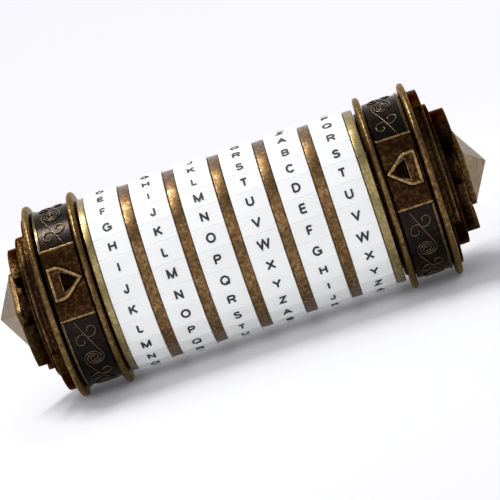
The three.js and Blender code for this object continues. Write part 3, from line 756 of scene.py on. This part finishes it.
def scroll_band(side):
    """The dark band, and the raised scrollwork on it as a piece of its own."""
    gap = SHIELD_HALF_DEG + 0.7        # the band starts just past the plate, the scrolls later
    clear = gap + 0.8
    step = np.array([0, 0.04, 0.10, 0.18, 0.30])
    across = np.unique(np.round(np.concatenate([
        BAND_EDGES[0] + step, np.linspace(*BAND_EDGES, 8), BORDER[0] - step, BORDER[0] + step,
        BAND_EDGES[1] - step]), 3))

    def surface(x, _):
        to_edge = np.minimum(x - BAND_EDGES[0], BAND_EDGES[1] - x)
        on_border = smooth(BORDER[0] - 0.02, BORDER[0] + 0.10, x)
        to_border_edge = np.minimum(x - BORDER[0], BORDER[1] - x)
        wear = on_border * (1 - 0.55 * smooth(0.05, 0.3, to_border_edge))
        # painted shade in the narrow gaps beside the border strip and beside the inner rim
        border_gap_shade = smooth(BORDER[0] - 0.35, BORDER[0] - 0.05, x) * (1 - on_border)
        rim_gap_shade = smooth(BAND_EDGES[0] + 0.3, BAND_EDGES[0], x)
        top = BAND_RADIUS + (BORDER_RADIUS - BAND_RADIUS) * on_border - edge_round(to_edge, BAND_EDGE)
        return top, wear, np.maximum(border_gap_shade, rim_gap_shade)

    points, faces, wear, painted_shade = slab(across, np.linspace(gap, 360 - gap, 240), surface)
    cap_piece(side, "scroll_band_fine", points, faces, GUNMETAL, ["scroll_band"], 50,
              wear, painted_shade)

    to_deg = math.degrees(1 / BAND_RADIUS)
    points, faces = [], []
    for period in range(1, 10):
        for line in scroll_lines():
            phis = period * SCROLL_PERIOD_DEG + line[:, 1] * to_deg
            placed = np.stack([SCROLL_MIDDLE + line[:, 0], phis], axis=1)
            kept = placed[(phis > clear) & (phis < 360 - clear)]
            if len(kept) < SCROLL_SCRAP:
                continue
            line_points, line_faces = wire(kept)
            faces += [tuple(v + len(points) for v in face) for face in line_faces]
            points += list(line_points)
    cap_piece(side, "scrollwork", points, faces, SCROLLWORK, [], 60)


# The shield's outline and its window, as (across, along) in millimetres from the plate's middle line.
EMBLEM_SIDE = [(3.6, 1.3), (5.45, 2.8), (6.9, 3.95), (7.9, 4.3), (10.6, 4.4)]
EMBLEM = [(2.05, 0.0)] + [(u, -v) for u, v in EMBLEM_SIDE] + EMBLEM_SIDE[::-1]
WINDOW = [(3.65, 0.0), (5.4, -1.45), (7.5, -2.5), (7.5, 2.5), (5.4, 1.45)]
SHIELD_RADIUS = 23.2
EMBLEM_RAISE = 0.42          # the shield over the plate, its ribs over the shield
FRAME_RIB = 0.16
END_RIB = 0.14               # along the plate's two ends
WINDOW_DEPTH = 0.22          # the sunk triangle below the plate


def outline_depth(outline, x, y):
    """Distance to a closed outline, positive inside it."""
    nearest = np.full(x.shape, 1e9)
    inside = np.zeros(x.shape, bool)
    for (ax, ay), (bx, by) in zip(outline, outline[1:] + outline[:1]):
        ex, ey = bx - ax, by - ay
        t = np.clip(((x - ax) * ex + (y - ay) * ey) / (ex * ex + ey * ey), 0, 1)
        nearest = np.minimum(nearest, np.hypot(x - ax - t * ex, y - ay - t * ey))
        crosses = (ay > y) != (by > y)
        at = ax + (y - ay) * ex / (ey if abs(ey) > 1e-9 else 1e-9)
        inside ^= crosses & (x < at)
    return np.where(inside, nearest, -nearest)


def shield_plate(side):
    """The curved plate with its raised shield: a frame round a sunk triangle."""
    half = math.radians(SHIELD_HALF_DEG) * SHIELD_RADIUS

    def surface(x, phi):
        along = np.radians(phi) * SHIELD_RADIUS
        to_end = half - np.abs(along)
        to_edge = np.minimum(to_end, np.minimum(x - BAND_EDGES[0], BAND_EDGES[1] - x))
        in_emblem = outline_depth(EMBLEM, x, along)
        in_window = outline_depth(WINDOW, x, along)
        end_rib = smooth(0.62, 0.42, to_end)
        raised = smooth(-0.08, 0.20, in_emblem)
        frame_rib = smooth(0.0, 0.15, in_emblem) * smooth(0.92, 0.62, in_emblem)
        window_rib = smooth(0.45, 0.25, -in_window) * smooth(0.0, 0.12, -in_window)
        sunk = smooth(-0.02, 0.16, in_window)
        ribs = np.maximum(frame_rib, 0.35 * window_rib) * raised
        top = SHIELD_RADIUS + END_RIB * end_rib + EMBLEM_RAISE * raised + FRAME_RIB * ribs
        top = top * (1 - sunk) + (SHIELD_RADIUS - WINDOW_DEPTH) * sunk
        worn_ribs = np.maximum(frame_rib, 0.4 * window_rib) * raised * (1 - sunk)
        wear = np.maximum(worn_ribs, smooth(0.62, 0.40, to_end) * 0.9)
        # painted shade: the sunk window is darkened fully, and the plate just beside the raised shield
        # partly
        beside = smooth(-0.75, -0.12, in_emblem) * (1 - raised)
        return top - edge_round(to_edge, BAND_EDGE), wear, np.maximum(sunk, 0.75 * beside)

    across = np.linspace(*BAND_EDGES, 96)
    degrees = np.linspace(-SHIELD_HALF_DEG, SHIELD_HALF_DEG, 200)
    points, faces, wear, painted_shade = slab(across, degrees, surface)
    cap_piece(side, "shield_plate_fine", points, faces, PLATE_BRONZE, ["shield_plate"],
              60, wear, painted_shade)


# The stepped end, in heights over the rim's face. A round step is a radius and a height.
BASE = (22.4, 0.8)
TIER = (18.2, 3.8)
POST = (9.2, 7.1)
LEDGE_RADIUS = 21.5
STEPS = [                    # radius, height, the angles it spans, edge wear
    (BASE[0], 2.5, -132.0, -42.5, 0.5),
    (BASE[0], 1.35, -42.5, 43.5, 0.2),
    (LEDGE_RADIUS, 2.6, -42.5, 43.5, 1.0),
    (BASE[0], 1.35, 138.0, 228.0, 0.2),
    (LEDGE_RADIUS, 2.6, 138.0, 228.0, 1.0),
]
BLOCK_OUTER, BLOCK_INNER, BLOCK_HALF_DEG = 16.1, 11.4, 24.0
BLOCKS = [(7.6, -47.0), (6.5, 46.5), (7.6, 136.5), (6.5, 226.5)]     # height, middle angle
SCREW_HOLE = 1.8
EDGE = 0.32                  # rounding of the steps
SEAT_GAP = 0.05              # between the rim's face and the casting's back
SPIGOT_OUTER, SPIGOT_INNER, SPIGOT_DEPTH = 18.5, 15.6, 4.0


def step_features(r, phi):
    """Each step as its height, how far inside its edges each point lies, and how worn its edge is."""
    def from_edges(outer, inner, low, high):
        middle, half = (low + high) / 2, (high - low) / 2
        off = np.abs((phi - middle + 180) % 360 - 180)
        sideways = r * np.sin(np.radians(np.clip(half - off, -90, 90)))
        return np.minimum(np.minimum(outer - r, r - inner), sideways)

    yield BASE[1], BASE[0] - r, 0.15
    for radius, top, low, high, worn in STEPS:
        yield top, from_edges(radius, 0, low, high), worn
    yield TIER[1], TIER[0] - r, 0.25
    yield POST[1], POST[0] - r, 0.3
    for top, middle in BLOCKS:
        low, high = middle - BLOCK_HALF_DEG, middle + BLOCK_HALF_DEG
        yield top, from_edges(BLOCK_OUTER, BLOCK_INNER, low, high), 0.7


def stepped_end_grid():
    """The radii and the angles of the stepped end's points, close together where an edge is rounded."""
    wall, beside = 0.012, 0.5          # over an edge: the foot of the wall, and one more point
    rounding = np.array([2.2, 1.0, 0.6, 0.3, 0.1, 0.0]) * EDGE
    radii = [SCREW_HOLE, 5.0]
    for edge in (POST[0], BLOCK_OUTER, TIER[0], LEDGE_RADIUS, BASE[0]):
        radii += [*(edge - rounding), edge + wall, edge + beside]
    radii += [BLOCK_INNER - beside, BLOCK_INNER - wall, *(BLOCK_INNER + rounding)]
    radii = np.unique(np.round([r for r in radii if r <= BASE[0]], 4))

    per_mm = math.degrees(1 / BLOCK_OUTER)     # degrees in a millimetre round the blocks
    rounding = np.array([2.2, 1.1, 0.6, 0.3, 0.1, 0.0]) * EDGE * per_mm
    spans = [(low, high) for _, _, low, high, _ in STEPS]
    spans += [(middle - BLOCK_HALF_DEG, middle + BLOCK_HALF_DEG) for _, middle in BLOCKS]
    degrees = list(np.arange(0, 360, 2.0))
    for low, high in spans:
        degrees += [*(low + rounding), low - 0.04, low - beside * per_mm]
        degrees += [*(high - rounding), high + 0.04, high + beside * per_mm]
    return radii, np.unique(np.round(np.mod(degrees, 360), 3))


def stepped_end(side):
    """The end casting: round steps and blocks in front, and a spigot that sits in the collar."""
    radii, degrees = stepped_end_grid()
    r, phi = np.meshgrid(radii, degrees, indexing="ij")
    top, wear, painted_shade = np.zeros((3, *r.shape))
    features = list(step_features(r, phi))
    for level, depth, worn in features:
        surface = np.where(depth >= -TINY, level - edge_round(np.maximum(depth, 0), EDGE), -1)
        higher = surface > top
        top = np.where(higher, surface, top)
        rubbed = np.clip(1 - depth / 0.3, 0, 1) * np.clip(0.15 + depth / 0.05, 0, 1)
        wear = np.where(higher, worn * rubbed, wear)
    # painted shade on the lower surface at the foot of each higher step's wall
    for level, depth, _ in features:
        wall_foot_shade = (depth < -TINY) * (level > top + 0.3)
        painted_shade = np.maximum(painted_shade, np.clip(1 + depth / 0.9, 0, 1) * wall_foot_shade)
    rows = [polar_points(CAP_RIM_FACE + top[i], r[i], -phi[i]) for i in range(len(radii))]
    seat = CAP_RIM_FACE + SEAT_GAP
    back = [(seat, BASE[0]), (seat, SPIGOT_OUTER), (seat - SPIGOT_DEPTH, SPIGOT_OUTER),
            (seat - SPIGOT_DEPTH, SPIGOT_INNER), (seat, SPIGOT_INNER), (seat, SCREW_HOLE)]
    rows += [polar_points(x, radius, -degrees) for x, radius in back]
    faces = skin(len(rows), len(degrees), None, None, True)
    cap_piece(side, "end_casting_fine", np.concatenate(rows), faces, DARK_BRONZE,
              ["end_casting"], 40, wear, painted_shade)


HUB_CORNER, FINIAL_CORNER, CORNER_DEG = 10.4, 9.8, -11.0
HUB_HEIGHTS, FINIAL_HEIGHTS = (7.15, 8.5), (8.55, 13.85)
CORNER_FULLNESS = 26         # the higher, the sharper a square's corners


def square_radius(corner, degrees):
    """Radius of a square with slightly rounded corners, one of them at CORNER_DEG."""
    a = np.radians(degrees + CORNER_DEG) + math.pi / 4
    power = CORNER_FULLNESS
    roundness = (np.abs(np.cos(a)) ** power + np.abs(np.sin(a)) ** power) ** (1 / power)
    return corner / math.sqrt(2) / roundness


def square_piece(side, name, profile, wear, material, node):
    """A four-sided piece. Each (height, corner radius) row is a square, but the screw hole is round
    and a radius of zero is a pole. There is one wear value for each row, the poles' last."""
    near_corner = np.array([-6, -4, -2.5, -1.2, 0, 1.2, 2.5, 4, 6])
    corners = [quarter * 90 - CORNER_DEG + near_corner for quarter in range(4)]
    degrees = np.unique(np.mod(np.concatenate([np.arange(0, 360, 6.0), *corners]), 360))

    def radius_of(r, at):
        return r if r == SCREW_HOLE else square_radius(r, at)

    points, faces = turned_mesh([(CAP_RIM_FACE + h, r) for h, r in profile], degrees, radius_of)
    rings = sum(r > 0 for _, r in profile)
    wear = np.concatenate([np.repeat(wear[:rings], len(degrees)), wear[rings:]])
    cap_piece(side, name, points, faces, material, [node], 30, wear)


def hub_plate(side):
    """The square plate under the point."""
    low, high = HUB_HEIGHTS
    c = HUB_CORNER
    profile = [
        (low, SCREW_HOLE), (low, c - 0.15), (low + 0.12, c), (high - 0.25, c), (high - 0.08, c - 0.08),
        (high, c - 0.28), (high, SCREW_HOLE)]
    wear = [0, 0, 0.3, 0.3, 0.9, 0.5, 0]
    square_piece(side, "hub_plate_fine", profile, wear, DARK_BRONZE, "hub_plate")


def finial(side):
    """The four-sided point, with a blind hole for its screw."""
    low, high = FINIAL_HEIGHTS
    hole_end, tip = low + 2.0, 0.22
    c = FINIAL_CORNER
    slope = c / (high - low)
    profile = [
        (hole_end, 0), (hole_end, SCREW_HOLE), (low, SCREW_HOLE), (low, c - 0.2), (low + 0.06, c - 0.06),
        (low + 0.3, c - 0.3 * slope - 0.02), (low + 1.2, c - 1.2 * slope), (high - 1.2, 1.2 * slope),
        (high - tip, tip * slope), (high - 0.06, 0.10), (high - 0.03, 0)]
    wear = [0, 0, 0.2, 0.9, 0.6, 0, 0, 0.7, 1, 0, 1]
    square_piece(side, "finial_fine", profile, wear, FINIAL, "finial")


# ---- barrel, tube and comb ----

FLANGE_THICKNESS = 1.8
FLANGE_RADIUS = 18.3
BARREL_BORE, BARREL_RADIUS = 12.1, 13.8
SLOT_WIDTH, KEYWAY_WIDTH = 4.6, 3.0
TUBE_BORE, TUBE_RADIUS = 9.8, 11.25
COMB_WIDTH = 3.4
COMB_BAR = (11.4, 13.0)      # inner and outer radius
TOOTH = (12.5, 16.9)
TOOTH_START, TOOTH_LENGTH = 1.1, 2.6     # the start is from its letter ring's left face
SLOT_CUTTER = (8.0, 15.0)    # inner and outer radius, clear of both of the barrel's walls


def radial_block(x0, x1, r0, r1, width, degrees):
    """A block standing out from the axis, to cut or join with."""
    block = box_mesh((x0 * MM, -r1 * MM, -width / 2 * MM), (x1 * MM, -r0 * MM, width / 2 * MM))
    lift = Matrix.Translation((0, 0, AXIS_HEIGHT * MM))
    block.transform(lift @ Matrix.Rotation(math.radians(-degrees), 4, "X"))
    return block


def machined_piece(name, mesh, material, body, nodes):
    """A machined piece with its sharp edges broken."""
    piece = new_object(name, mesh)
    modifier = piece.modifiers.new("edges", "BEVEL")
    modifier.width = 0.12 * MM
    modifier.segments = 2
    modifier.limit_method = "ANGLE"
    modifier.angle_limit = math.radians(50)
    bevelled = modified_mesh(piece)
    piece.modifiers.clear()
    piece.data = bevelled
    finish_piece(piece, material, body, nodes)


def outer_barrel():
    """The slotted tube that the rings turn on."""
    flange = BARREL_START + FLANGE_THICKNESS
    outline = [
        (BARREL_START, BARREL_BORE), (BARREL_START, FLANGE_RADIUS), (flange, FLANGE_RADIUS),
        (flange, BARREL_RADIUS), (BARREL_END, BARREL_RADIUS), (BARREL_END, BARREL_BORE)]
    mesh = new_mesh("turned", *turned_mesh(outline, angles(120)))
    start, end = FIXED_FACE + 0.05, BARREL_END + 1
    for width, degrees in ((SLOT_WIDTH, CODE_ROW_DEG), (KEYWAY_WIDTH, CODE_ROW_DEG + 180)):
        mesh = boolean(mesh, "DIFFERENCE", radial_block(start, end, *SLOT_CUTTER, width, degrees))
    machined_piece("outer_barrel_fine", mesh, MACHINED, "root", ["outer_barrel"])


def inner_tube():
    """The tube for the note, with its floor and flange."""
    mouth, end = span("inner_tube", X)
    flange = end - FLANGE_THICKNESS
    outline = fillet([
        (flange, 0, 0), (flange, TUBE_BORE, 0.5), (mouth, TUBE_BORE, 0.15), (mouth, TUBE_RADIUS, 0.3),
        (flange, TUBE_RADIUS, 0.2), (flange, FLANGE_RADIUS, 0.2), (end, FLANGE_RADIUS, 0.2), (end, 0, 0)],
        closed=False)
    turned_piece("inner_tube", outline, angles(144), None, MACHINED, "drawer")


def tooth_comb():
    """The bar with one tooth behind each code ring's web."""
    mesh = radial_block(*span("tooth_comb", X), *COMB_BAR, COMB_WIDTH, CODE_ROW_DEG)
    for index in range(6):
        start = span(f"letter_ring_{index + 1}", X)[0] + TOOTH_START
        tooth = radial_block(start, start + TOOTH_LENGTH, *TOOTH, COMB_WIDTH, CODE_ROW_DEG)
        mesh = boolean(mesh, "UNION", tooth)
    machined_piece("tooth_comb_fine", mesh, STEEL, "drawer", ["tooth_comb"])


# ---- assembly ----

LETTER_SHAPES = {letter: glyph_mesh(*shape) for letter, shape in glyphs().items()}
for index in range(6):
    letter_ring(index)
    printed_letters(index, LETTER_SHAPES)
for index in range(5):
    keyed_ring(f"divider_ring_{index + 1}", DIVIDER_RADIUS, DIVIDER)
keyed_ring("thrust_ring", END_RING_RADIUS, END_BRASS)
keyed_ring("lock_ring", END_RING_RADIUS, END_BRASS)
for side in ("fixed", "drawer"):
    collar(side)
    scroll_band(side)
    shield_plate(side)
    stepped_end(side)
    hub_plate(side)
    finial(side)
outer_barrel()
inner_tube()
tooth_comb()

LOOKS = {
    "steel": STEEL, "machined_brass": MACHINED, "antique_bronze": BRONZE, "dark_bronze": DARK_BRONZE,
    "gunmetal": GUNMETAL, "finial_brass": FINIAL, "brushed_brass": END_BRASS,
    "divider_bronze": DIVIDER, "white_enamel": ENAMEL,
}
SLOTS = {part["node"]: part["material_slot"] for part in frame["record"]["subparts"]}
for name, node in frame["nodes"].items():
    node.data.materials.clear()
    node.data.materials.append(LOOKS[SLOTS[name]])

# ---- floor, lights and camera ----


def stage_floor():
    """A pale table that curves up into a backdrop. Away from the part its paint fades and it glows,
    so that the background is an even white. Near the part it glows faintly too, as painted light that
    lightens the part's shadow there."""
    half_width, front, curve_start, curve_radius, top = 4000, -3000, 1200, 1000, 4000
    section = [(front, 0.0), (curve_start, 0.0)]
    for t in np.linspace(0, math.pi / 2, 13)[1:]:
        section.append((curve_start + curve_radius * math.sin(t), curve_radius * (1 - math.cos(t))))
    section.append((curve_start + curve_radius, top))
    points = [(x, y, z) for y, z in section for x in (-half_width, half_width)]
    faces = [(2 * i, 2 * i + 1, 2 * i + 3, 2 * i + 2) for i in range(len(section) - 1)]
    mesh = new_mesh("floor", points, faces)
    mesh.polygons.foreach_set("use_smooth", [True] * len(faces))
    n = Nodes("floor")
    distance = n.add("VectorMath", {0: n.place}, operation="LENGTH").outputs["Value"]
    far = n.level(distance, 0.14, 0.36)
    # emission: strong far off for the even white backdrop, and faint near the part, painted light that
    # lightens the shadow on the table
    n.set(Base_Color=n.mix(far, (0.80, 0.80, 0.82), (0.02, 0.02, 0.02)), Roughness=0.9,
          Specular_IOR_Level=0.0, Emission_Color=(1.0, 0.995, 1.04),
          Emission_Strength=n.level(far, 0.0, 1.0, 0.05, 0.93))
    mesh.materials.append(n.material)
    floor = new_object("floor", mesh)


def area_light(name, place, size, power):
    """A soft lamp, in metres and watts, that faces the middle of the part."""
    data = bpy.data.lights.new(name, "AREA")
    data.shape = "RECTANGLE"
    data.size, data.size_y = size
    data.energy = power
    light = new_object(name, data)
    light.location = place
    aim = Vector((0, 0, 0.02)) - Vector(place)
    light.rotation_euler = aim.to_track_quat("-Z", "Y").to_euler()


def lights():
    """Four panels, and a pale sky."""
    area_light("key", (-0.45, 0.55, 0.95), (0.4, 0.4), 1.9)
    area_light("overhead_strip", (-0.20, 0.10, 0.88), (0.56, 0.08), 4.6)
    area_light("left_fill", (-1.15, -0.80, 0.30), (0.5, 0.5), 2.6)
    area_light("front_panel", (0, -1.4, 0.85), (2.4, 1.3), 8.8)
    world = bpy.data.worlds.new("studio")
    bpy.context.scene.world = world
    world.use_nodes = True
    background = world.node_tree.nodes["Background"]
    background.inputs["Color"].default_value = (0.95, 0.96, 1.0, 1)
    background.inputs["Strength"].default_value = 0.36


CAMERA_LENS = 229.3          # millimetres, on a 36 mm sensor
CAMERA_DISTANCE = 0.7979
CAMERA_AZIMUTH = 1.85        # degrees to the right of square on
CAMERA_ELEVATION = 10.0
CAMERA_ROLL = 18.2
CAMERA_AIM = (0.001035, -0.000512, 0.022095)


def camera():
    """The photo's view: turned, raised and rolled about the point it aims at."""
    data = bpy.data.cameras.new("camera")
    data.lens = CAMERA_LENS
    data.sensor_width = 36.0
    data.clip_start, data.clip_end = 0.05, 20.0
    item = new_object("camera", data)
    turn = Matrix.Rotation(math.radians(CAMERA_AZIMUTH), 4, "Z")
    lift = Matrix.Rotation(math.radians(-CAMERA_ELEVATION), 4, "X")
    facing = Matrix.Rotation(math.radians(90), 4, "X")
    roll = Matrix.Rotation(math.radians(-CAMERA_ROLL), 4, "Z")
    back = Matrix.Translation((0, 0, CAMERA_DISTANCE))
    item.matrix_world = Matrix.Translation(CAMERA_AIM) @ lift @ turn @ facing @ back @ roll
    bpy.context.scene.camera = item


stage_floor()
lights()
camera()
bpy.context.scene.view_settings.view_transform = "Standard"
